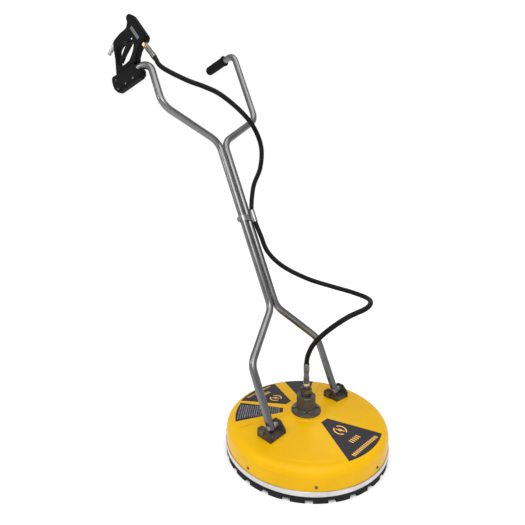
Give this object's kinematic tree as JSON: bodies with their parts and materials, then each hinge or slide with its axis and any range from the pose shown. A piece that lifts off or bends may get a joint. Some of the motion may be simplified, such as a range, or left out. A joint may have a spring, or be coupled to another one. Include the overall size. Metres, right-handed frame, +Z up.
{
  "type": "rotary surface cleaner",
  "caption": "Round wheel-less pressure-washer deck with a rubber skirt, a spinning spray bar beneath, a tilting two-tube handle and a trigger gun.",
  "frame": {"origin": "on the ground, on the spray bar's axis of spin at the middle of the round deck", "axes": "+Z up along the spray bar's axis, +Y the way the machine is pushed, away from the operator, +X to the operator's right"},
  "size_m": [0.5476, 1.0427, 1.4311],
  "materials": {
    "deck_yellow": "semi-gloss moulded plastic",
    "label_charcoal": "satin printed film",
    "skirt_rubber": "matt moulded rubber",
    "band_metal": "rolled bright edging",
    "zinc_fastener": "zinc plated",
    "hub_coat": "dark textured coating",
    "bearing_steel": "ground",
    "seal_rubber": "matt",
    "backing_steel": "zinc plated sheet",
    "adapter_black": "black oxide",
    "fitting_bright": "bright nickel",
    "ferrule_metal": "crimped plated sleeve",
    "bracket_coat": "dark textured coating",
    "shaft_steel": "ground stainless",
    "brass": "machined",
    "tube_silver": "silver-grey metallic paint",
    "weld": "as welded and painted over",
    "clip_metal": "bent plated sheet",
    "grip_rubber": "soft matt rubber",
    "mount_plastic": "fine grained moulding",
    "gun_plastic": "fine grained moulding",
    "badge_grey": "plain inlaid strip",
    "trigger_plastic": "smooth moulding",
    "hose_rubber": "matt hose cover"
  },
  "bodies": {
    "deck": {"deck_shell": "deck_yellow", "label_front": "label_charcoal", "label_back": "label_charcoal", "label_info": "label_charcoal", "label_side": "label_charcoal", "skirt": "skirt_rubber", "rim_band": "band_metal", "rim_screws": "zinc_fastener", "swivel_housing": "hub_coat", "bearing_outer_races": "bearing_steel", "bearing_balls": "bearing_steel", "retaining_ring": "bearing_steel", "shaft_seal": "seal_rubber", "backing_plate": "backing_steel", "flange_bolts": "zinc_fastener", "flange_nuts": "zinc_fastener", "inlet_adapter": "adapter_black", "hose_nut": "fitting_bright", "ferrule_lower": "ferrule_metal", "bracket_right": "bracket_coat", "bracket_left": "bracket_coat", "bracket_bolts": "zinc_fastener", "bracket_nuts": "zinc_fastener", "pivot_bolts": "zinc_fastener", "pivot_nuts": "zinc_fastener", "hose_lower": "hose_rubber"},
    "spray_bar": {"rotor_shaft": "shaft_steel", "bearing_inner_races": "bearing_steel", "spray_hub": "brass", "spray_arms": "shaft_steel", "nozzle_holders": "brass", "nozzles": "shaft_steel"},
    "handle": {"tube_right": "tube_silver", "tube_left": "tube_silver", "pivot_sleeves": "backing_steel", "weld_beads": "weld", "hose_clip": "clip_metal", "clip_screw": "zinc_fastener", "grip_left": "grip_rubber", "mount_inner": "mount_plastic", "mount_outer": "mount_plastic", "mount_screws": "zinc_fastener", "gun_shell_inner": "gun_plastic", "gun_shell_outer": "gun_plastic", "gun_badge": "badge_grey", "gun_screws": "zinc_fastener", "valve_body": "brass", "inlet_pipe": "brass", "inlet_plug": "fitting_bright", "outlet_fitting": "brass", "ferrule_upper": "ferrule_metal", "trigger_pin": "shaft_steel", "trigger_spring": "shaft_steel", "hose_upper": "hose_rubber"},
    "trigger": {"trigger": "trigger_plastic"},
    "valve_pin": {"valve_pin": "shaft_steel"}
  },
  "joints": [
    {"name": "spray_bar_spin", "type": "hinge", "parent": "deck", "child": "spray_bar", "pos_m": [0, 0, 0.06], "axis": [0, 0, 1], "continuous": true},
    {"name": "handle_tilt", "type": "hinge", "parent": "deck", "child": "handle", "pos_m": [0, -0.003, 0.127], "axis": [1, 0, 0], "range_deg": [-40, 40], "deforming": ["hose_lower"]},
    {"name": "trigger_pull", "type": "hinge", "parent": "handle", "child": "trigger", "pos_m": [0.2314, -0.59433, 1.35068], "axis": [-0.9397, -0.342, 0], "range_deg": [0, 8], "stiffness_Nm_per_rad": 2, "springref_deg": -8.59},
    {"name": "valve_push", "type": "slide", "parent": "handle", "child": "valve_pin", "axis": [-0.2612, 0.7177, 0.6455], "range_m": [0, 0.0027]}
  ],
  "couplings": [
    {"joint": "valve_push", "follows": "trigger_pull", "m_per_rad": 0.018}
  ]
}
